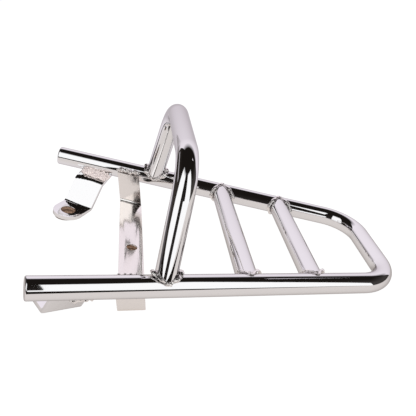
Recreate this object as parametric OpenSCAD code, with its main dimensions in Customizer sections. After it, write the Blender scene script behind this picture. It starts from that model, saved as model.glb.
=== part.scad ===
// Motorcycle luggage rack made of bent and welded steel tube, chrome plated.
// Millimetres. +X to the rear of the machine, +Y to its right, +Z up.
// Origin: centre of the fender strap's bolt hole, on the underside of the strap.

/* [Tube] */
// outside diameter of every tube
tube_d = 19; // [16:0.5:25]
// wall thickness of every tube
tube_wall = 2; // [1:0.25:3]

/* [Side loop] */
// front end of the side rails, ahead of the origin
rail_front = 84.4; // [40:0.5:140]
// rail centre to centre half distance at the front ends
front_half = 124.5; // [90:0.5:160]
// angle by which each rail closes in towards the rear
taper = 11.4; // [0:0.1:20]
// front ends to the centre line of the rear run
loop_len = 325.4; // [220:0.5:420]
// centre line radius of the two rear corners
corner_r = 38; // [25:0.5:60]
// rail centre line above the underside of the strap
rail_z = 35; // [20:0.5:60]

/* [End caps] */
// thickness of the discs that close the front ends
cap_t = 3; // [1.5:0.25:6]
// rounding of the outer edge of the discs
cap_edge = 1.5; // [0.5:0.25:3]

/* [Cross tubes] */
// front cross tube, behind the middle between the hoop's feet and the rear cross tube
front_cross_shift = 5.35; // [-20:0.05:20]
// rear cross tube, ahead of the loop's rear run
rear_cross_lead = 82.4; // [60:0.2:120]

/* [Grab hoop] */
// hoop feet, behind the front ends
hoop_x = 104.7; // [90:0.1:150]
// backward tilt of the hoop
hoop_tilt = 3.3; // [0:0.1:12]
// inward lean of each hoop leg
hoop_lean = 19.1; // [0:0.1:30]
// length of a hoop leg, rail centre to the centre line of the top run
hoop_leg = 100; // [60:0.5:150]
// centre line radius of the hoop corners
hoop_r = 42; // [25:0.5:50]

/* [Fender strap] */
// width of the flat bar
strap_w = 23.5; // [15:0.5:35]
// thickness of the flat bar
strap_t = 4; // [2:0.25:6]
// inner radius of its two bends
strap_bend_r = 3; // [1:0.25:8]
// forward lean of the strap's legs
strap_lean = 13; // [0:0.5:20]
// strap leg top above the rail centre line
strap_rise = 1; // [-3:0.5:5]
// diameter of the bolt hole
strap_hole_d = 10.5; // [6:0.25:14]

/* [Mount tabs] */
// width of the flat bar
tab_w = 31.2; // [20:0.5:40]
// thickness of the flat bar
tab_t = 4; // [2:0.25:6]
// inner radius of the bends
tab_bend_r = 3; // [1:0.25:8]
// bottom of the foot below the rail centre line
tab_drop = 43.7; // [30:0.5:60]
// lower bend, behind the front ends
tab_x = 26.7; // [20:0.5:60]
// lower bend, inboard of the rail's front end
tab_in = 34.8; // [25:0.2:45]
// direction of the bends in plan
tab_angle = 24.5; // [0:0.5:40]
// steepness of the middle portion
tab_slope = 68; // [40:1:85]
// length of the middle portion
tab_mid = 28.3; // [20:0.5:40]
// steepness of the top portion that runs to the rail
tab_top_slope = 28.6; // [10:0.5:45]
// length of the top portion before it is coped
tab_top = 23; // [18:0.5:26]
// rearward skew of the bar's edges
tab_skew = 0.155; // [0:0.005:0.25]
// lower bend to the centre of the hole
tab_foot = 17.4; // [12:0.5:30]
// diameter of the bolt hole
tab_hole_d = 15.5; // [6:0.25:18]

/* [Weld beads] */
// radius of a bead round a tube end
bead_r = 2.2; // [1:0.1:3.5]
// height of the ripples as a share of that radius
bead_ripple = 0.16; // [0:0.01:0.3]
// flattening of a bead where two tubes run level
bead_flat = 0.6; // [0:0.05:0.8]
// gap left between a bead or a coped end and its neighbour
seat_gap = 0.05; // [0.02:0.01:0.2]

/* [Hidden] */
$fn = 40;
ring_sides = 8;
ring_steps = 40;
front_x = -rail_front;
bore_d = tube_d - 2 * tube_wall;
tube_r = tube_d / 2;
seat_r = tube_r + seat_gap;
over = 30;
lap = 0.5;
slip = 0.1;
bend_steps = 8;
rear_cross_x = loop_len - rear_cross_lead;
front_cross_x = (hoop_x + rear_cross_x) / 2 + front_cross_shift;

// derived lengths of the side loop
loop_turn = 90 - taper;
corner_run = corner_r * tan(loop_turn / 2);
rail_straight = loop_len / cos(taper) - corner_run - cap_t;
rear_half = front_half - loop_len * tan(taper) - corner_run;
function rail_y(x) = front_half - x * tan(taper);

// derived lengths of the hoop
hoop_turn = 90 - hoop_lean;
hoop_run = hoop_r * tan(hoop_turn / 2);
hoop_straight = hoop_leg - hoop_run;
hoop_foot_y = rail_y(hoop_x);
hoop_half = hoop_foot_y - hoop_leg * sin(hoop_lean) - hoop_run;
hoop_top = hoop_leg * cos(hoop_lean);

// derived sizes of the strap
strap_inner = -tube_r - strap_t - seat_gap;
strap_high = rail_z + strap_rise;

// derived sizes of a tab, profile in the plane across its bends
tab_y = front_half - tab_in;
tab_up_y = tab_mid * cos(tab_slope);
tab_up_z = tab_mid * sin(tab_slope);
tab_mean = (tab_slope + tab_top_slope) / 2;
tab_skew_n = sqrt(1 + tab_skew * tab_skew);
tab_yaw = -atan(tab_skew * cos(tab_mean));
tab_pitch = asin(tab_skew * sin(tab_mean) / tab_skew_n);
tab_shift = tab_foot * tab_skew * cos(tab_mean);
tab_cut_w = tab_w * 1.01;
tab_foot_r = tab_w / 2;
tab_low_z = rail_z - tab_drop + tab_t;

// where a tab's upper face meets the rail, from its upper corner, x along the bends
tab_turn = tab_angle - taper;
tab_rise = [cos(tab_top_slope) * cos(tab_turn), sin(tab_top_slope)];
function tab_reach(x) =
  let (
    q = [tab_x * sin(taper) - tab_in * cos(taper) + tab_up_y * cos(tab_turn) - x * sin(tab_turn),
      tab_t - tab_drop + tab_up_z],
    qa = tab_rise * tab_rise,
    qb = q * tab_rise,
    qc = q * q - seat_r * seat_r
  )
  (-qb - sqrt(max(qb * qb - qa * qc, 0))) / qa;

// own frame of the right-hand rail, from its front end: +X along the rail, +Y outboard
module on_rail(dist = 0) {
  translate([front_x, front_half, rail_z])
    rotate([0, 0, -taper])
      translate([dist, 0, 0])
        children();
}

// left-hand copy of right-hand children
module left_hand() {
  mirror([0, 1, 0])
    children();
}

// solid rod along +X
module rod_x(d, h) {
  rotate([0, 90, 0])
    cylinder(d = d, h = h);
}

// right half of the loop's path as a solid of diameter d, begun early by lead
module loop_half(d, lead = 0) {
  on_rail(cap_t - lead)
    rod_x(d - slip, rail_straight + lead + lap);
  on_rail(cap_t + rail_straight)
    translate([0, -corner_r, 0])
      rotate([0, 0, 90 - loop_turn])
        rotate_extrude(angle = loop_turn)
          translate([corner_r, 0])
            circle(d = d);
}

// rear run of the loop's path
module loop_rear(d) {
  translate([front_x + loop_len, -rear_half - lap, rail_z])
    rotate([-90, 0, 0])
      cylinder(d = d - slip, h = 2 * (rear_half + lap));
}

module loop_path(d, lead = 0) {
  loop_half(d, lead);
  left_hand()
    loop_half(d, lead);
  loop_rear(d);
}

// the rails as cutters for everything that is coped to them
module rail_cutter() {
  on_rail(-over)
    rod_x(2 * seat_r, loop_len + over);
}

module both_rails() {
  rail_cutter();
  left_hand()
    rail_cutter();
}

// One bent tube: two side rails, two rear corners and the rear run
module side_loop_tube() {
  color("silver")
    difference() {
      loop_path(tube_d);
      loop_path(bore_d, 1);
    }
}

// Disc with a rounded edge welded into the front end of a rail
module end_cap() {
  color("silver")
    on_rail()
      rotate([0, 90, 0])
        rotate_extrude() {
          translate([0, cap_edge])
            square([tube_r, cap_t - cap_edge]);
          square([tube_r - cap_edge, cap_t]);
          intersection() {
            translate([tube_r - cap_edge, cap_edge])
              circle(r = cap_edge);
            translate([tube_r - cap_edge, 0])
              square(cap_edge);
          }
        }
}

// Straight cross tube with both ends coped to the rails
module cross_tube(x) {
  color("silver")
    difference() {
      translate([front_x + x, -rail_y(x), rail_z])
        rotate([-90, 0, 0])
          cylinder(d = tube_d, h = 2 * rail_y(x));
      translate([front_x + x, -rail_y(x) - over, rail_z])
        rotate([-90, 0, 0])
          cylinder(d = bore_d, h = 2 * (rail_y(x) + over));
      both_rails();
    }
}

// right half of the hoop's path
module hoop_half_path(d, lead = 0) {
  translate([0, hoop_foot_y, 0])
    rotate([hoop_lean, 0, 0]) {
      translate([0, 0, -lead])
        cylinder(d = d - slip, h = hoop_straight + lead + lap);
      translate([0, -hoop_r, hoop_straight])
        rotate([0, 90, 0])
          rotate([0, 0, 90])
            rotate_extrude(angle = hoop_turn)
              translate([hoop_r, 0])
                circle(d = d);
    }
}

module hoop_path(d, lead = 0) {
  translate([front_x + hoop_x, 0, rail_z])
    rotate([0, hoop_tilt, 0]) {
      hoop_half_path(d, lead);
      left_hand()
        hoop_half_path(d, lead);
      translate([0, -hoop_half - lap, hoop_top])
        rotate([-90, 0, 0])
          cylinder(d = d - slip, h = 2 * (hoop_half + lap));
    }
}

// Inverted U of tube that stands on both rails, its feet coped to them
module grab_hoop() {
  color("silver")
    difference() {
      hoop_path(tube_d);
      hoop_path(bore_d, 1);
      both_rails();
    }
}

// profile of the strap's right half: leg, rounded bend and half of the floor
module strap_profile() {
  bend_y = strap_inner - strap_bend_r;
  difference() {
    union() {
      translate([strap_inner, strap_bend_r + strap_t])
        square([strap_t, strap_high - strap_bend_r - strap_t]);
      translate([-front_half - over, 0])
        square([bend_y + front_half + over, strap_t]);
      intersection() {
        translate([bend_y, strap_bend_r + strap_t])
          circle(r = strap_bend_r + strap_t);
        translate([bend_y, 0])
          square(strap_bend_r + strap_t);
      }
    }
    translate([bend_y, strap_bend_r + strap_t])
      circle(r = strap_bend_r);
  }
}

module strap_half() {
  intersection() {
    translate([front_x, front_half, 0])
      rotate([0, 0, -taper])
        rotate([90, 0, 90])
          linear_extrude(height = loop_len / 2)
            strap_profile();
    translate([-loop_len, 0, -1])
      cube([2 * loop_len, front_half, rail_z + over]);
  }
}

// Flat bar bent to a U between the rails, with one bolt hole in its floor
module fender_strap() {
  color("silver")
    difference() {
      intersection() {
        union() {
          strap_half();
          left_hand()
            strap_half();
        }
        rotate([0, -strap_lean, 0])
          translate([-strap_w / 2 * cos(strap_lean), -front_half, -over])
            cube([strap_w * cos(strap_lean), 2 * front_half, rail_z + 2 * over]);
      }
      translate([0, 0, -1])
        cylinder(d = strap_hole_d, h = strap_t + 2);
      both_rails();
    }
}

// points of an arc about c, from angle from to angle to
function arc(c, r, from, to) =
  [for (i = [0 : bend_steps]) c + r * dir2(from + (to - from) * i / bend_steps)];
function dir2(a) = [cos(a), sin(a)];

// profile of a tab across its bends: +X outboard, +Y up, origin on top of the lower bend
module tab_profile() {
  high_turn = tab_slope - tab_top_slope;
  low_run = tab_bend_r * tan(tab_slope / 2);
  high_run = (tab_bend_r + tab_t) * tan(high_turn / 2);
  low_c = [-low_run, tab_bend_r];
  high_c = [tab_up_y, tab_up_z] - high_run * dir2(tab_slope)
    - (tab_bend_r + tab_t) * dir2(tab_slope + 90);
  tip = [tab_up_y, tab_up_z] + tab_top * dir2(tab_top_slope);
  polygon(concat(
    [[-tab_foot, 0]],
    arc(low_c, tab_bend_r, -90, tab_slope - 90),
    arc(high_c, tab_bend_r + tab_t, tab_slope + 90, tab_top_slope + 90),
    [tip, tip - tab_t * dir2(tab_top_slope + 90)],
    arc(high_c, tab_bend_r, tab_top_slope + 90, tab_slope + 90),
    arc(low_c, tab_bend_r + tab_t, tab_slope - 90, -90),
    [[-tab_foot, -tab_t]]
  ));
}

// frame of one tab: +X along its bends, +Y outboard, origin on top of the lower bend
module on_tab() {
  translate([front_x + tab_x, tab_y, tab_low_z])
    rotate([0, 0, -tab_angle])
      children();
}

// Flat bar with two bends, a round foot with one bolt hole and a top end coped under the rail
module mount_tab() {
  color("silver")
    difference() {
      on_tab()
        difference() {
          union() {
            intersection() {
              translate([-tab_w, 0, 0])
                rotate([90, 0, 90])
                  linear_extrude(height = 2 * tab_w)
                    tab_profile();
              rotate([0, tab_pitch, tab_yaw])
                translate([-tab_cut_w / 2, -2 * tab_w, -2 * tab_w])
                  cube([tab_cut_w, 4 * tab_w, 4 * tab_w]);
            }
            translate([-tab_shift, -tab_foot, -tab_t])
              cylinder(r = tab_foot_r, h = tab_t);
          }
          translate([-tab_shift, -tab_foot, -tab_t - 1])
            cylinder(d = tab_hole_d, h = tab_t + 2);
        }
      rail_cutter();
    }
}

// solid bead from rings: centres c, cross directions u and v, and the radii ru and rv along them
module bead(c, u, v, ru, rv, closed) {
  n = len(c);
  m = ring_sides;
  pts = [for (i = [0 : n - 1]) for (j = [0 : m - 1])
    c[i] + ru[i] * cos(360 * j / m) * u[i] + rv[i] * sin(360 * j / m) * v[i]];
  last = closed ? n - 1 : n - 2;
  walls = [for (i = [0 : last]) for (j = [0 : m - 1])
    [i * m + j, i * m + (j + 1) % m, ((i + 1) % n) * m + (j + 1) % m, ((i + 1) % n) * m + j]];
  ends = closed ? [] : [[for (j = [0 : m - 1]) m - 1 - j], [for (j = [0 : m - 1]) (n - 1) * m + j]];
  polyhedron(points = pts, faces = concat(walls, ends), convexity = 6);
}

function unit(a) = a / norm(a);
// ripple of a bead, an uneven row of lumps
function lumps(t, count, seed) =
  1 + bead_ripple * (0.75 * sin(360 * count * t + seed) + 0.25 * sin(360 * (count * 2 + 1) * t + 2 * seed));

// point of a tube of axis dir, started at the rail's centre, on the rail's own surface
function saddle(dir, a, b, t) =
  let (
    e = tube_r * (cos(t) * a + sin(t) * b),
    qa = dir[1] * dir[1] + dir[2] * dir[2],
    qb = e[1] * dir[1] + e[2] * dir[2],
    qc = e[1] * e[1] + e[2] * e[2] - tube_r * tube_r
  )
  e + dir * ((-qb + sqrt(max(qb * qb - qa * qc, 0))) / qa);

// closed bead round the foot of a tube of axis dir (in the rail's own frame), a and b square to it
module ring_bead(dir, a, b, count, seed) {
  all = [for (i = [0 : ring_steps - 1]) i];
  feet = [for (i = all) saddle(dir, a, b, 360 * i / ring_steps)];
  nr = [for (i = all) unit([0, feet[i][1], feet[i][2]])];
  nl = [for (i = all) cos(360 * i / ring_steps) * a + sin(360 * i / ring_steps) * b];
  outs = [for (i = all) unit(nr[i] + nl[i])];
  // share: 1 where both surfaces face the same way, 0 in a square corner
  share = [for (i = all) max(0, nr[i] * nl[i])];
  base = [for (i = all) bead_r * lumps(i / ring_steps, count, seed)];
  high = [for (i = all) base[i] * (1 - bead_flat * share[i])];
  half_c = [for (i = all) outs[i] * nr[i]];
  reach = [for (i = all) sqrt(pow(high[i] * half_c[i], 2) + pow(base[i], 2) * (1 - pow(half_c[i], 2)))];
  mids = [for (i = all) feet[i] + outs[i] * (reach[i] + seat_gap) / half_c[i]];
  sides = [for (i = all)
    let (t = mids[(i + 1) % ring_steps] - mids[(i + ring_steps - 1) % ring_steps])
    unit(cross(t, outs[i]))];
  color("silver")
    bead(mids, outs, sides, high, base, true);
}

// Bead round a hoop foot
module hoop_weld() {
  tilt_dir = [sin(hoop_tilt) * cos(hoop_lean), -sin(hoop_lean), cos(hoop_tilt) * cos(hoop_lean)];
  ct = cos(taper);
  st = sin(taper);
  dir = [ct * tilt_dir[0] - st * tilt_dir[1], st * tilt_dir[0] + ct * tilt_dir[1], tilt_dir[2]];
  a = unit([1, 0, 0] - dir * dir[0]);
  b = cross(dir, a);
  on_rail(hoop_x / cos(taper))
    ring_bead(dir, a, b, 9, 20);
}

// Bead round the right end of a cross tube
module cross_weld(x, seed) {
  dir = [sin(taper), -cos(taper), 0];
  a = [cos(taper), sin(taper), 0];
  b = cross(dir, a);
  on_rail(x / cos(taper))
    ring_bead(dir, a, b, 8, seed);
}

// open bead along the rail from x0 to x1, seen in the rail's cross section at angle at and radius out
module row_bead(x0, x1, out0, out1, at0, at1, thick, count, seed) {
  steps = 26;
  ks = [for (i = [0 : steps]) i / steps];
  radii = [for (k = ks) thick * lumps(k, count, seed) * min(1, 0.35 + 6 * k, 0.35 + 6 * (1 - k))];
  mids = [for (i = [0 : steps])
    let (
      k = ks[i],
      q = at0 + (at1 - at0) * k,
      o = out0 + (out1 - out0) * k + radii[i]
    )
    [x0 + (x1 - x0) * k, o * sin(q), -o * cos(q)]];
  us = [for (k = ks) let (q = at0 + (at1 - at0) * k) [0, sin(q), -cos(q)]];
  tan_v = unit(mids[steps] - mids[0]);
  vs = [for (u = us) unit(cross(tan_v, u))];
  color("silver")
    on_rail()
      bead(mids, us, vs, radii, radii, false);
}

// Bead on top of a strap leg, against the inner side of the rail
strap_weld_r = 2.4;
strap_weld_at = -90 - strap_rise * 6 - 16;
module strap_weld() {
  mid = rail_front / cos(taper) + rail_z * tan(strap_lean) * -0.93;
  row_bead(mid - strap_w / 2, mid + strap_w / 2 + 1, seat_r, seat_r, strap_weld_at, strap_weld_at,
    strap_weld_r, 5, 60);
}

// Broad weld on the top portion of a tab, from its upper bend to where the rail meets it
tab_weld_t = 1.7;
module tab_top_weld() {
  steps = 26;
  up_dir = dir2(tab_top_slope);
  across = [0, up_dir[0], up_dir[1]];
  out = [0, -up_dir[1], up_dir[0]];
  x0 = tab_skew * tab_mid + 2.6 - tab_w / 2;
  x1 = tab_skew * tab_mid + 3.4 + tab_w / 2;
  xs = [for (i = [0 : steps]) x0 + (x1 - x0) * i / steps];
  ends = [for (i = [0 : steps]) min(1, 0.4 + i / 5, 0.4 + (steps - i) / 5)];
  reach = [for (x = xs) tab_reach(x)];
  half = [for (i = [0 : steps]) (reach[i] / 2 - 1) * ends[i] * (1 + 0.3 * (lumps(i / steps, 5, 200) - 1))];
  high = [for (i = [0 : steps]) tab_weld_t * ends[i] * lumps(i / steps, 7, 10)];
  mids = [for (i = [0 : steps])
    [xs[i], tab_up_y, tab_up_z] + across * reach[i] / 2 + out * (high[i] + seat_gap)];
  color("silver")
    on_tab()
      bead(mids, [for (x = xs) out], [for (x = xs) -across], high, half, false);
}

// Bead along the under face of a tab
tab_weld_r = 2.1;
module tab_under_weld() {
  row_bead(tab_x + 6.3, tab_x + 33.3, seat_r, seat_r, 6, -20, tab_weld_r, 6, 80);
}

side_loop_tube();
left_hand() end_cap();  // end_cap_left
end_cap();  // end_cap_right
grab_hoop();
cross_tube(front_cross_x);  // front_cross_tube
cross_tube(rear_cross_x);  // rear_cross_tube
fender_strap();
left_hand() mount_tab();  // mount_tab_left
mount_tab();  // mount_tab_right
left_hand() hoop_weld();  // hoop_weld_left
hoop_weld();  // hoop_weld_right
left_hand() cross_weld(front_cross_x, 30);  // front_cross_weld_left
cross_weld(front_cross_x, 30);  // front_cross_weld_right
left_hand() cross_weld(rear_cross_x, 75);  // rear_cross_weld_left
cross_weld(rear_cross_x, 75);  // rear_cross_weld_right
left_hand() strap_weld();  // strap_weld_left
strap_weld();  // strap_weld_right
left_hand() tab_top_weld();  // tab_top_weld_left
tab_top_weld();  // tab_top_weld_right
left_hand() tab_under_weld();  // tab_under_weld_left
tab_under_weld();  // tab_under_weld_right
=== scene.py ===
import math

import bmesh
import bpy
from mathutils import Euler, Matrix, Vector, noise


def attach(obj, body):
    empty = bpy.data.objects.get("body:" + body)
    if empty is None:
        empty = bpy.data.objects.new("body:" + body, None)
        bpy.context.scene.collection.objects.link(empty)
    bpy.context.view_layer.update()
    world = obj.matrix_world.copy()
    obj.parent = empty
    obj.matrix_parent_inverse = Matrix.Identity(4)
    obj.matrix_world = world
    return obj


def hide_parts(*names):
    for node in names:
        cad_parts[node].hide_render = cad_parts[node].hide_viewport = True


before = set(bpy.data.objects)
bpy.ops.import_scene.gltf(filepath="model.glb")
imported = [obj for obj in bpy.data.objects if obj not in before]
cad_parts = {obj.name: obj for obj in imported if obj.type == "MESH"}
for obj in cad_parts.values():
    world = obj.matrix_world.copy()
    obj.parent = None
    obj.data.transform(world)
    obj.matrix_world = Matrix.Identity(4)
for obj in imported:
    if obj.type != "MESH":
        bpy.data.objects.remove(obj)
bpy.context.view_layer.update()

# Camera: it looks at the rack from above and from its left, at the photograph's viewing angle.
# The lens fills the square frame as the photograph does.
mm = 0.001
scene = bpy.context.scene
camera_data = bpy.data.cameras.new("camera")
camera_data.sensor_width = 36.0
camera_data.lens = 49.65
camera = bpy.data.objects.new("camera", camera_data)
scene.collection.objects.link(camera)
camera_place = Vector((-0.04795, -0.47881, 0.29941))
camera_turn = Euler([math.radians(angle) for angle in (63.1526, -12.2123, -7.1313)])
camera.matrix_world = Matrix.LocRotScale(camera_place, camera_turn, None)
scene.camera = camera
scene.view_settings.view_transform = "Standard"


# Floor: one plain pale sheet, tilted as the rack's tab feet and rear tube rest on it.
# It is white to the camera, with a faint shadow. In the chrome it glows with a painted warm grey shade
# near the rack, lilac towards the backdrop, and dark beyond the left end of the table.
def new_material(name):
    """A material with nothing in it but its output."""
    made = bpy.data.materials.new(name)
    made.use_nodes = True
    nodes = made.node_tree.nodes
    nodes.clear()
    out = nodes.new("ShaderNodeOutputMaterial")
    return made, nodes, made.node_tree.links, out


def new_piece(name, bm, material):
    """A mesh object of one material, at the origin."""
    mesh = bpy.data.meshes.new(name)
    bm.to_mesh(mesh)
    bm.free()
    mesh.materials.append(material)
    piece = bpy.data.objects.new(name, mesh)
    scene.collection.objects.link(piece)
    return piece


def where(nodes, links):
    """Where a point of the surface lies: as one vector, and as its X, Y and Z."""
    coord = nodes.new("ShaderNodeTexCoord")
    split = nodes.new("ShaderNodeSeparateXYZ")
    links.new(coord.outputs["Object"], split.inputs[0])
    return coord.outputs["Object"], split.outputs


def between(nodes, links, value, low, high):
    """0 at low and 1 at high."""
    ramp = nodes.new("ShaderNodeMapRange")
    ramp.inputs["From Min"].default_value = low
    ramp.inputs["From Max"].default_value = high
    links.new(value, ramp.inputs["Value"])
    return ramp.outputs[0]


def blend(nodes, links, factor, first, second):
    """One colour turned to another by a factor. The first may be another blend's output."""
    mix = nodes.new("ShaderNodeMix")
    mix.data_type = "RGBA"
    if isinstance(first, tuple):
        mix.inputs["A"].default_value = (*first, 1)
    else:
        links.new(first, mix.inputs["A"])
    mix.inputs["B"].default_value = (*second, 1)
    links.new(factor, mix.inputs["Factor"])
    return mix.outputs["Result"]


def arithmetic(nodes, links, operation, first, second):
    """One operation on two values, of which the second may be a plain number."""
    step = nodes.new("ShaderNodeMath")
    step.operation = operation
    links.new(first, step.inputs[0])
    if isinstance(second, float):
        step.inputs[1].default_value = second
    else:
        links.new(second, step.inputs[1])
    return step.outputs[0]


def glow(nodes, colour, strength=1.0):
    """An even glow of one colour."""
    shader = nodes.new("ShaderNodeEmission")
    shader.inputs["Color"].default_value = (*colour, 1)
    shader.inputs["Strength"].default_value = strength
    return shader


def one_or_other(nodes, links, factor, first, second):
    """Two shaders mixed by a factor."""
    mix = nodes.new("ShaderNodeMixShader")
    links.new(factor, mix.inputs[0])
    links.new(first.outputs[0], mix.inputs[1])
    links.new(second.outputs[0], mix.inputs[2])
    return mix


foot_low = Vector((-0.051, 0.0, -0.0087))
rear_low = Vector((0.2409, 0.0, 0.0255))
floor_along = (rear_low - foot_low).normalized()
floor_up = Vector((-floor_along.z, 0.0, floor_along.x))
floor_turn = Matrix((floor_along, Vector((0, 1, 0)), floor_up)).transposed().to_4x4()
floor_size = 6.0
floor_gap = 0.2 * mm
# the warm grey is painted shade: the rack's shadow on the floor, as the chrome mirrors it
rack_shade_warm = (0.70, 0.66, 0.63)
table_lilac = (0.88, 0.84, 0.89)
table_dark = (0.02, 0.018, 0.017)
glow_share = 0.9

bm = bmesh.new()
bmesh.ops.create_grid(bm, x_segments=1, y_segments=1, size=floor_size)
floor_place = Matrix.Translation(foot_low - floor_up * floor_gap) @ floor_turn
bmesh.ops.transform(bm, matrix=floor_place, verts=bm.verts)
floor_white, nodes, links, out = new_material("floor_white")
point, axes = where(nodes, links)
# painted shade: in reflections the floor glows warm grey near the rack and turns lilac towards the
# backdrop
to_backdrop = between(nodes, links, axes["Y"], 0.06, 0.22)
shade_to_lilac = blend(nodes, links, to_backdrop, rack_shade_warm, table_lilac)
# the table's left end is cut off on a slant
slant = nodes.new("ShaderNodeVectorMath")
slant.operation = "DOT_PRODUCT"
slant.inputs[1].default_value = (-0.83, -0.56, 0)
links.new(point, slant.inputs[0])
past_end = between(nodes, links, axes["X"], -0.33, -0.37)
past_slant = between(nodes, links, slant.outputs["Value"], 0.20, 0.24)
off_table = arithmetic(nodes, links, "MULTIPLY", past_end, past_slant)
tone = glow(nodes, rack_shade_warm)
links.new(blend(nodes, links, off_table, shade_to_lilac, table_dark), tone.inputs["Color"])
path = nodes.new("ShaderNodeLightPath").outputs
seen = one_or_other(nodes, links, path["Is Camera Ray"], tone, glow(nodes, (1, 1, 1), 1.08))
mirrored = arithmetic(nodes, links, "MAXIMUM", path["Is Glossy Ray"], path["Is Transmission Ray"])
looked_at = arithmetic(nodes, links, "MAXIMUM", path["Is Camera Ray"], mirrored)
share = arithmetic(nodes, links, "MULTIPLY", looked_at, glow_share)
shaded = nodes.new("ShaderNodeBsdfDiffuse")
shaded.inputs["Color"].default_value = (0.80, 0.80, 0.81, 1)
links.new(one_or_other(nodes, links, share, shaded, seen).outputs[0], out.inputs[0])
floor = new_piece("floor", bm, floor_white)

# Three small brown discs lie on the floor, one under each bolt hole.
# They show through the holes. x, y and radius are in millimetres.
hole_brown, nodes, links, out = new_material("hole_brown")
under_hole_brown = nodes.new("ShaderNodeBsdfPrincipled")
under_hole_brown.inputs["Base Color"].default_value = (0.30, 0.19, 0.12, 1)
under_hole_brown.inputs["Roughness"].default_value = 0.9
links.new(under_hole_brown.outputs[0], out.inputs[0])
disc_lift = 0.2 * mm
bm = bmesh.new()
for x, y, radius in ((-66.5, -74.6, 13.5), (-66.5, 74.6, 13.5), (0.0, 0.0, 9.5)):
    rise = (x * mm - foot_low.x) * floor_along.z / floor_along.x
    at = Vector((x * mm, y * mm, foot_low.z + rise))
    lie = Matrix.Translation(at + floor_up * disc_lift) @ floor_turn
    bmesh.ops.create_circle(bm, cap_ends=True, radius=radius * mm, segments=40, matrix=lie)
brown_discs = new_piece("brown_discs", bm, hole_brown)


# Studio: a pale tent all round, soft white boxes in front, and dark cards that draw the lines in chrome.
# The cards are seen only in reflections.
backdrop_pale = (0.88, 0.83, 0.89)
world = bpy.data.worlds.new("tent")
scene.world = world
world.use_nodes = True
nodes = world.node_tree.nodes
links = world.node_tree.links
nodes.clear()
out = nodes.new("ShaderNodeOutputWorld")
tent = nodes.new("ShaderNodeBackground")
tent.inputs["Color"].default_value = (*backdrop_pale, 1)
backdrop = nodes.new("ShaderNodeBackground")
backdrop.inputs["Color"].default_value = (1, 1, 1, 1)
path = nodes.new("ShaderNodeLightPath").outputs
links.new(one_or_other(nodes, links, path["Is Camera Ray"], tent, backdrop).outputs[0], out.inputs[0])

rack_mid = Vector((0.05, 0.0, 0.05))
card_step = 6


def glow_card(name, bm, colour, other=None, heights=(0, 1)):
    """A card seen only in reflections, its colour turned to the other one between two heights."""
    made, nodes, links, out = new_material(name)
    shine = glow(nodes, colour)
    if other:
        point, axes = where(nodes, links)
        factor = between(nodes, links, axes["Z"], *heights)
        links.new(blend(nodes, links, factor, colour, other), shine.inputs["Color"])
    links.new(shine.outputs[0], out.inputs[0])
    piece = new_piece(name, bm, made)
    piece.visible_camera = False
    piece.visible_diffuse = False
    piece.visible_shadow = False


def panel(name, span, rise, distance, colour, other=None, fade=(0, 1)):
    """A card bent round the rack, over a span of azimuths and a rise of elevations in degrees.
    Azimuth 0 is +X and 90 is +Y. Its colour turns to the other one between the elevations of fade."""
    start = math.radians(span[0])
    across = max(1, round((span[1] - span[0]) / card_step))
    up = max(1, round((rise[1] - rise[0]) / card_step))
    bm = bmesh.new()
    side = []
    for j in range(up + 1):
        level = math.radians(rise[0] + (rise[1] - rise[0]) * j / up)
        flat = math.cos(level)
        way = Vector((math.cos(start) * flat, math.sin(start) * flat, math.sin(level)))
        side.append(bm.verts.new(rack_mid + way * distance))
    side += [bm.edges.new(pair) for pair in zip(side, side[1:])]
    bmesh.ops.spin(
        bm, geom=side, cent=rack_mid, axis=(0, 0, 1), angle=math.radians(span[1] - span[0]),
        steps=across, use_merge=False, use_duplicate=False,
    )
    heights = [rack_mid.z + distance * math.sin(math.radians(level)) for level in fade]
    glow_card(name, bm, colour, other, heights)


def wall(name, corners, colour, other=None, heights=(0, 1)):
    """A flat four-cornered card."""
    bm = bmesh.new()
    bm.faces.new([bm.verts.new(corner) for corner in corners])
    glow_card(name, bm, colour, other, heights)


black = (0.010, 0.008, 0.007)
room_dark = (0.035, 0.029, 0.026)
box_white = (1.03, 1.04, 1.04)
side_grey = (0.50, 0.47, 0.49)
side_dark = (0.20, 0.18, 0.18)
# the dark room round the table, and its ceiling
panel("canopy_front", (165, 375), (44, 90), 1.75, black)
panel("canopy_top", (5, 175), (60, 90), 1.75, black)
panel("room_right", (-40, 18), (-3, 50), 1.7, (0.05, 0.045, 0.043), black, (20, 45))
panel("room_left_side", (113, 122), (-12, 20), 1.66, side_grey, backdrop_pale, (2, 20))
panel("room_left_side_dark", (122, 131), (-12, 20), 1.65, side_dark, backdrop_pale, (2, 20))
panel("room_left", (130, 200), (-12, 62), 1.7, room_dark, black, (10, 40))
panel("room_left_strip", (135, 175), (14, 20), 1.6, (0.45, 0.43, 0.45))
panel("room_front", (-165, -30), (-3, 66), 1.7, (0.02, 0.017, 0.016), black, (10, 60))
# the soft boxes in front
panel("softbox_right", (-78, -33), (15, 64), 1.55, box_white, (0.3, 0.3, 0.31), (60, 64))
panel("softbox_right_low", (-90, -33), (-2, 16), 1.56, box_white)
panel("softbox_left", (-163, -115), (-2, 63), 1.55, box_white, (0.25, 0.25, 0.26), (54, 63))
# the dark room above the top edge of the backdrop, behind the rack
backdrop_y = 1.3
above = [(x, backdrop_y, z) for x, z in ((-6, 1.3), (6, 1.3), (6, 5), (-6, 5))]
wall("backdrop_top", above, backdrop_pale, black, (1.3, 2.1))
# the dark front edge of the table, which draws the thin low line along the near rail
edge_y = -0.29
edge_top = 0.057
edge = [(x, edge_y, z) for x, z in ((-0.8, -0.09), (1.1, 0.01), (1.1, edge_top), (-0.8, edge_top))]
wall("table_edge", edge, black)

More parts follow.
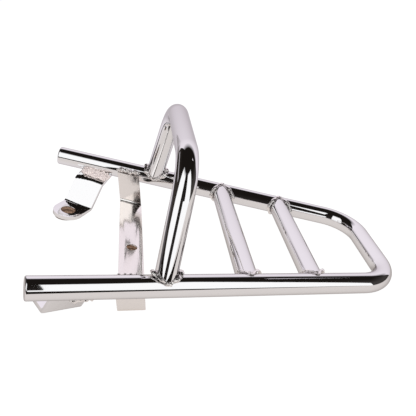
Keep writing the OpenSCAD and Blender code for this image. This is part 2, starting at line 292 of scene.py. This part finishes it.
key = bpy.data.lights.new("key", "AREA")
key.energy = 12
key.size = 1.4
key_lamp = bpy.data.objects.new("key", key)
key_lamp.location = (-0.4, -1.0, 1.5)
key_lamp.rotation_euler = (key_lamp.location - rack_mid).to_track_quat("Z", "Y").to_euler()
key_lamp.visible_glossy = False
scene.collection.objects.link(key_lamp)


# Side loop: one length of round steel tube, bent at the two rear corners, polished and chrome plated.
# The front ends are open until the discs are welded in.
tube_r = 9.5 * mm
tube_wall = 2.0 * mm
rail_z = 35.0 * mm
front_x = -84.4 * mm
front_half = 124.5 * mm
taper = math.radians(11.4)
loop_len = 325.4 * mm
corner_r = 38.0 * mm
cap_t = 3.0 * mm
round_sides = 72
bend_steps = 28
loop_turn = math.pi / 2 - taper
corner_run = corner_r * math.tan(loop_turn / 2)
rail_run = loop_len / math.cos(taper) - corner_run - cap_t
rear_half = front_half - loop_len * math.tan(taper) - corner_run
rail_dir = {s: Vector((math.cos(taper), -s * math.sin(taper), 0)) for s in (-1, 1)}
rail_out = {s: Vector((math.sin(taper), s * math.cos(taper), 0)) for s in (-1, 1)}
rail_start = {s: Vector((front_x, s * front_half, rail_z)) for s in (-1, 1)}


def polish_group():
    """Node group: the faint unevenness of polished chrome, as a roughness and a normal."""
    group = bpy.data.node_groups.new("chrome_polish", "ShaderNodeTree")
    face = group.interface
    for name in ("Wave scale", "Wave depth", "Smear", "Base roughness"):
        face.new_socket(name, in_out="INPUT", socket_type="NodeSocketFloat")
    face.new_socket("Stretch", in_out="INPUT", socket_type="NodeSocketVector")
    face.new_socket("Roughness", in_out="OUTPUT", socket_type="NodeSocketFloat")
    face.new_socket("Normal", in_out="OUTPUT", socket_type="NodeSocketVector")
    nodes, links = group.nodes, group.links
    gin = nodes.new("NodeGroupInput")
    gout = nodes.new("NodeGroupOutput")
    coord = nodes.new("ShaderNodeTexCoord")
    drawn = nodes.new("ShaderNodeVectorMath")
    drawn.operation = "MULTIPLY"
    links.new(coord.outputs["Object"], drawn.inputs[0])
    links.new(gin.outputs["Stretch"], drawn.inputs[1])
    wave = nodes.new("ShaderNodeTexNoise")
    wave.inputs["Detail"].default_value = 1.0
    links.new(drawn.outputs[0], wave.inputs["Vector"])
    links.new(gin.outputs["Wave scale"], wave.inputs["Scale"])
    bump = nodes.new("ShaderNodeBump")
    bump.inputs["Distance"].default_value = 1 * mm
    links.new(gin.outputs["Wave depth"], bump.inputs["Strength"])
    links.new(wave.outputs["Fac"], bump.inputs["Height"])
    smear = nodes.new("ShaderNodeTexNoise")
    smear.inputs["Scale"].default_value = 300.0
    smear.inputs["Detail"].default_value = 3.0
    links.new(coord.outputs["Object"], smear.inputs["Vector"])
    amount = nodes.new("ShaderNodeMath")
    amount.operation = "MULTIPLY_ADD"
    links.new(smear.outputs["Fac"], amount.inputs[0])
    links.new(gin.outputs["Smear"], amount.inputs[1])
    links.new(gin.outputs["Base roughness"], amount.inputs[2])
    links.new(amount.outputs[0], gout.inputs["Roughness"])
    links.new(bump.outputs["Normal"], gout.inputs["Normal"])
    return group


chrome_polish = polish_group()


def chrome(name, colour, waves, smear, rough, stretch=(1, 1, 1), edge=(0.58, 0.56, 0.56)):
    """Bright chrome plate over steel. waves are the scale and depth of its faint unevenness, drawn out
    along an axis where stretch says so, and edge is the tint of what it mirrors at a grazing angle."""
    made, nodes, links, out = new_material(name)
    shader = nodes.new("ShaderNodeBsdfPrincipled")
    shader.inputs["Base Color"].default_value = (*colour, 1)
    shader.inputs["Metallic"].default_value = 1.0
    shader.inputs["Specular Tint"].default_value = (*edge, 1)
    polish = nodes.new("ShaderNodeGroup")
    polish.node_tree = chrome_polish
    polish.inputs["Wave scale"].default_value, polish.inputs["Wave depth"].default_value = waves
    polish.inputs["Smear"].default_value = smear
    polish.inputs["Base roughness"].default_value = rough
    polish.inputs["Stretch"].default_value = stretch
    links.new(polish.outputs["Roughness"], shader.inputs["Roughness"])
    links.new(polish.outputs["Normal"], shader.inputs["Normal"])
    links.new(shader.outputs[0], out.inputs[0])
    return made


tube_chrome = chrome("tube_chrome", (0.93, 0.92, 0.93), (30.0, 0.03), 0.02, 0.02)


def tube_ring(bm, radius, centre, direction):
    """Edges of a circle about centre, square to direction."""
    place = Matrix.Translation(centre) @ direction.to_track_quat("Z", "Y").to_matrix().to_4x4()
    made = bmesh.ops.create_circle(
        bm, cap_ends=False, radius=radius, segments=round_sides, matrix=place
    )
    return list({e for v in made["verts"] for e in v.link_edges})


def of_kind(geom, kind):
    """The vertices, edges or faces among an operator's results."""
    return [g for g in geom if isinstance(g, kind)]


def straight_run(bm, edges, vector):
    """Draws the last ring straight on."""
    made = bmesh.ops.extrude_edge_only(bm, edges=edges)["geom"]
    bmesh.ops.translate(bm, vec=vector, verts=of_kind(made, bmesh.types.BMVert))
    return of_kind(made, bmesh.types.BMEdge)


def bend(bm, edges, centre, axis, angle):
    """Spins the last ring round a bend."""
    geom = edges + list({v for e in edges for v in e.verts})
    made = bmesh.ops.spin(
        bm, geom=geom, cent=centre, axis=axis, angle=angle, steps=bend_steps,
        use_merge=False, use_duplicate=False,
    )
    return of_kind(made["geom_last"], bmesh.types.BMEdge)


def close_wall(bm, outer, inner):
    """Joins the outer and inner skins of a tube round both of its ends."""
    for a, b in zip(outer, inner):
        bmesh.ops.bridge_loops(bm, edges=a + b)
    bmesh.ops.recalc_face_normals(bm, faces=bm.faces)


def smooth(piece, angle=30.0):
    """Smooth faces, with edges kept sharp past the angle in degrees."""
    piece.data.shade_smooth()
    piece.data.set_sharp_from_angle(angle=math.radians(angle))


def sweep_loop(bm, radius):
    """One skin of the loop: rail, corner, rear run, corner, rail."""
    start = rail_start[-1] + rail_dir[-1] * cap_t
    first = tube_ring(bm, radius, start, rail_dir[-1])
    ring = straight_run(bm, first, rail_dir[-1] * rail_run)
    centre = start + rail_dir[-1] * rail_run - rail_out[-1] * corner_r
    ring = bend(bm, ring, centre, (0, 0, 1), loop_turn)
    ring = straight_run(bm, ring, Vector((0, 2 * rear_half, 0)))
    centre = Vector((centre.x, -centre.y, centre.z))
    ring = bend(bm, ring, centre, (0, 0, 1), loop_turn)
    last = straight_run(bm, ring, -rail_dir[1] * rail_run)
    return first, last


bm = bmesh.new()
outer = sweep_loop(bm, tube_r)
inner = sweep_loop(bm, tube_r - tube_wall)
close_wall(bm, outer, inner)
side_loop = new_piece("side_loop", bm, tube_chrome)
smooth(side_loop)
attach(side_loop, "root")
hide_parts("side_loop_tube")


# End discs: two steel discs that close the rails' front ends.
# Each is turned with a rounded rim, welded on, ground flush with the tube and plated with it.
cap_edge = 1.5 * mm
for s, side in ((-1, "left"), (1, "right")):
    bm = bmesh.new()
    seat = Matrix.Translation(rail_start[s] + rail_dir[s] * cap_t)
    facing = (-rail_dir[s]).to_track_quat("Z", "Y").to_matrix().to_4x4()
    bmesh.ops.create_circle(
        bm, cap_ends=True, radius=tube_r, segments=round_sides, matrix=seat @ facing
    )
    grown = bmesh.ops.extrude_face_region(bm, geom=list(bm.faces))["geom"]
    bmesh.ops.translate(bm, vec=-rail_dir[s] * cap_t, verts=of_kind(grown, bmesh.types.BMVert))
    rim = [e for f in of_kind(grown, bmesh.types.BMFace) for e in f.edges]
    bmesh.ops.bevel(
        bm, geom=rim, offset=cap_edge, segments=6, profile=0.5, affect="EDGES", material=-1
    )
    bmesh.ops.recalc_face_normals(bm, faces=bm.faces)
    disc = new_piece("end_disc_" + side, bm, tube_chrome)
    smooth(disc, 40)
    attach(disc, "root")
    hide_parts("end_cap_" + side)


# Cross tubes: two straight lengths of the same tube, their ends coped to the rails and welded.
# The beads hide the cut edges.
cope_r = 9.55 * mm
cross_start = 2 * mm


def rail_y(x):
    """Half distance between the rails' centre lines, x behind their front ends."""
    return front_half - x * math.tan(taper)


def ring_verts(edges):
    """The vertices of a ring."""
    return list({v for e in edges for v in e.verts})


def cope(verts, direction, s):
    """Slides the verts along direction until they meet the surface of one rail, outside it."""
    u = rail_dir[s]
    for v in verts:
        p = v.co - rail_start[s]
        p = p - u * p.dot(u)
        d = direction - u * direction.dot(u)
        a, b, c = d.dot(d), p.dot(d), p.dot(p) - cope_r * cope_r
        root = math.sqrt(max(b * b - a * c, 0))
        # the nearer crossing, as seen from where the tube comes
        v.co += direction * ((-b - root) / a)


for name, x in (("front_cross_tube", 179.2 * mm), ("rear_cross_tube", 243.0 * mm)):
    bm = bmesh.new()
    ends = []
    for radius in (tube_r, tube_r - tube_wall):
        half = rail_y(x) - tube_r - cross_start
        first = tube_ring(bm, radius, Vector((front_x + x, -half, rail_z)), Vector((0, 1, 0)))
        last = straight_run(bm, first, Vector((0, 2 * half, 0)))
        cope(ring_verts(first), Vector((0, -1, 0)), -1)
        cope(ring_verts(last), Vector((0, 1, 0)), 1)
        ends.append((first, last))
    close_wall(bm, *ends)
    tube = new_piece(name.replace("_tube", "_bar"), bm, tube_chrome)
    smooth(tube)
    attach(tube, "root")
    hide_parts(name)


# Grab hoop: one tube bent to an upside-down U, polished and plated like the rails that it stands on.
# It leans a little to the rear. Its feet are coped, a little short of the full saddle, and welded.
hoop_x = 104.7 * mm
hoop_tilt = math.radians(3.3)
hoop_lean = math.radians(19.1)
hoop_leg = 100.0 * mm
hoop_r = 42.0 * mm
leg_start = 14 * mm
saddle_top = 10 * mm
foot_short = 0.4
hoop_turn = math.pi / 2 - hoop_lean
hoop_run = hoop_r * math.tan(hoop_turn / 2)
leg_run = hoop_leg - hoop_run
hoop_foot_y = rail_y(hoop_x)
hoop_half = hoop_foot_y - hoop_leg * math.sin(hoop_lean) - hoop_run
tilt = Matrix.Rotation(hoop_tilt, 3, "Y")
hoop_axis = tilt @ Vector((1, 0, 0))
leg_dir = {
    s: tilt @ Vector((0, -s * math.sin(hoop_lean), math.cos(hoop_lean))) for s in (-1, 1)
}
leg_foot = {s: Vector((front_x + hoop_x, s * hoop_foot_y, rail_z)) for s in (-1, 1)}


def short_of_saddle(co, s, share):
    """The lift that takes a point of a foot out of the saddle by a share of its depth there."""
    depth = saddle_top - (co - leg_foot[s]).dot(leg_dir[s])
    return leg_dir[s] * max(0.0, depth) * share


def sweep_hoop(bm, radius):
    """One skin of the hoop: leg, corner, top run, corner, leg."""
    begin = leg_foot[-1] + leg_dir[-1] * leg_start
    first = tube_ring(bm, radius, begin, leg_dir[-1])
    ring = straight_run(bm, first, leg_dir[-1] * (leg_run - leg_start))
    inward = leg_dir[-1].cross(hoop_axis).normalized()
    centre = leg_foot[-1] + leg_dir[-1] * leg_run + inward * hoop_r
    ring = bend(bm, ring, centre, -hoop_axis, hoop_turn)
    ring = straight_run(bm, ring, Vector((0, 2 * hoop_half, 0)))
    centre = Vector((centre.x, -centre.y, centre.z))
    ring = bend(bm, ring, centre, -hoop_axis, hoop_turn)
    last = straight_run(bm, ring, -leg_dir[1] * (leg_run - leg_start))
    for s, foot in ((-1, first), (1, last)):
        cope(ring_verts(foot), -leg_dir[s], s)
        for v in ring_verts(foot):
            v.co += short_of_saddle(v.co, s, foot_short)
    return first, last


bm = bmesh.new()
outer = sweep_hoop(bm, tube_r)
inner = sweep_hoop(bm, tube_r - tube_wall)
close_wall(bm, outer, inner)
hoop = new_piece("hoop", bm, tube_chrome)
smooth(hoop)
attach(hoop, "root")
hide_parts("grab_hoop")


# Fender strap: flat steel bar, bent to a U between the rails, drilled for the fender bolt and plated.
# Its edges were dressed first. The far leg was pressed a few degrees out of line when it was welded.
edge_dressed = 0.5 * mm
merge_within = 0.005 * mm
strap_chrome = chrome(
    "strap_chrome", (0.97, 0.93, 0.91), (130.0, 0.35), 0.10, 0.09,
    stretch=(1.0, 0.15, 0.15), edge=(0.88, 0.82, 0.78),
)
twist_from = 68 * mm
twist_over = 20 * mm
twist_middle = -4 * mm
twist_slope = 0.09


def dressed_copy(node, name, material, twist=None):
    """The node's own form with its doubles merged, flat faces joined and sharp edges rounded."""
    bm = bmesh.new()
    bm.from_mesh(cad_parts[node].data)
    bmesh.ops.remove_doubles(bm, verts=bm.verts, dist=merge_within)
    bmesh.ops.dissolve_limit(bm, angle_limit=math.radians(0.6), verts=bm.verts, edges=bm.edges)
    sharp = [
        e for e in bm.edges
        if len(e.link_faces) == 2 and e.calc_face_angle(0) > math.radians(30)
    ]
    bmesh.ops.bevel(
        bm, geom=sharp, offset=edge_dressed, segments=3, profile=0.5, affect="EDGES",
        clamp_overlap=True, material=-1,
    )
    if twist:
        for v in bm.verts:
            v.co += twist(v.co)
    bmesh.ops.recalc_face_normals(bm, faces=bm.faces)
    piece = new_piece(name, bm, material)
    smooth(piece, 40)
    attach(piece, "root")
    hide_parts(node)
    return piece


def leg_twist(co):
    """The far leg's own turn about its middle, from none at the bend to all of it at the rail."""
    share = min(1.0, max(0.0, (co.y - twist_from) / twist_over))
    return Vector((0, -twist_slope * share * (co.x - twist_middle), 0))


strap = dressed_copy("fender_strap", "strap_bar", strap_chrome, leg_twist)


# Mount tabs: flat steel bar, cut and bent twice, with a round foot drilled for the mount bolt.
# Each is coped to the underside of its rail near the front end, welded there and plated.
plate_chrome = chrome("plate_chrome", (0.95, 0.94, 0.95), (420.0, 0.10), 0.06, 0.03)
for side in ("left", "right"):
    tab = dressed_copy("mount_tab_" + side, "tab_bar_" + side, plate_chrome)


# Weld beads: steel laid by hand round each joint, uneven, and plated over with the rest.
# The broad patch on top of each tab is duller, because the plating is thin between its lumps.
weld_chrome = chrome(
    "weld_chrome", (0.97, 0.93, 0.91), (350.0, 0.15), 0.25, 0.12, edge=(0.9, 0.9, 0.9)
)
dull_weld, nodes, links, out = new_material("dull_weld")
shader = nodes.new("ShaderNodeBsdfPrincipled")
shader.inputs["Base Color"].default_value = (0.95, 0.86, 0.80, 1)
shader.inputs["Metallic"].default_value = 0.35
shader.inputs["Roughness"].default_value = 0.28
links.new(shader.outputs[0], out.inputs[0])

fine_share = 0.45
fine_depth = 0.4
fine_shift = Vector((7, 3, 1))


def lay_bead(node, material, lumps, size, slim, shift=None):
    """The bead's own form, made finer, slimmed, and pushed in and out into lumps.
    lumps, size and slim are their depth, their size and the slimming, in millimetres."""
    bm = bmesh.new()
    bm.from_mesh(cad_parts[node].data)
    bmesh.ops.remove_doubles(bm, verts=bm.verts, dist=merge_within)
    if shift:
        for v in bm.verts:
            v.co += shift(v.co)
    bmesh.ops.subdivide_edges(bm, edges=bm.edges, cuts=2, use_grid_fill=True, smooth=1.0)
    bmesh.ops.recalc_face_normals(bm, faces=bm.faces)
    bm.normal_update()
    for v, n in [(v, v.normal.copy()) for v in bm.verts]:
        big = noise.noise(v.co / (size * mm))
        fine = noise.noise(v.co / (fine_share * size * mm) + fine_shift)
        v.co += n * mm * (lumps * (big + fine_depth * fine) - slim)
    piece = new_piece(node.replace("_weld", "_bead"), bm, material)
    piece.data.shade_smooth()
    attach(piece, "root")
    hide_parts(node)


tab_x = 26.7 * mm
tab_in = 34.8 * mm
tab_floor = 39.7 * mm
tab_angle = math.radians(24.5)
tab_top_slope = math.radians(28.6)
tab_mid_out = 10.6 * mm
tab_mid_up = 26.2 * mm
patch_fade = 18 * mm
patch_draw = 5 * mm


def nearer_rail(co, s):
    """Draws the patch on a tab's top portion up towards the rail, off the bend."""
    plan = Vector((math.sin(tab_angle), s * math.cos(tab_angle), 0))
    start = Vector((front_x + tab_x, s * (front_half - tab_in), rail_z - tab_floor))
    upper_bend = start + plan * tab_mid_out + Vector((0, 0, tab_mid_up))
    along = plan * math.cos(tab_top_slope) + Vector((0, 0, math.sin(tab_top_slope)))
    past_bend = (co - upper_bend).dot(along)
    return along * max(0.0, 1.0 - past_bend / patch_fade) * patch_draw


bead_short = 0.42
strap_bead_drop = Vector((0, 0, -2 * mm))
near_bead_in = Vector((0, 1.2 * mm, 0))
for node in [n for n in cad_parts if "weld" in n]:
    s = -1 if "left" in node else 1
    if "tab_top" in node:
        lay_bead(node, dull_weld, 1.1, 3.0, 0.0, lambda co: nearer_rail(co, s))
    elif node == "strap_weld_left":
        lay_bead(node, weld_chrome, 0.3, 2.4, 0.8, lambda co: strap_bead_drop)
    elif "cross" in node and s < 0:
        lay_bead(node, weld_chrome, 0.3, 3.0, 0.9, lambda co: near_bead_in)
    elif "cross" in node:
        lay_bead(node, weld_chrome, 0.3, 3.0, 0.6)
    elif "hoop" in node:
        lay_bead(node, weld_chrome, 0.6, 2.6, 0.4, lambda co: short_of_saddle(co, s, bead_short))
    else:
        lay_bead(node, weld_chrome, 1.2, 3.2, 0.0)
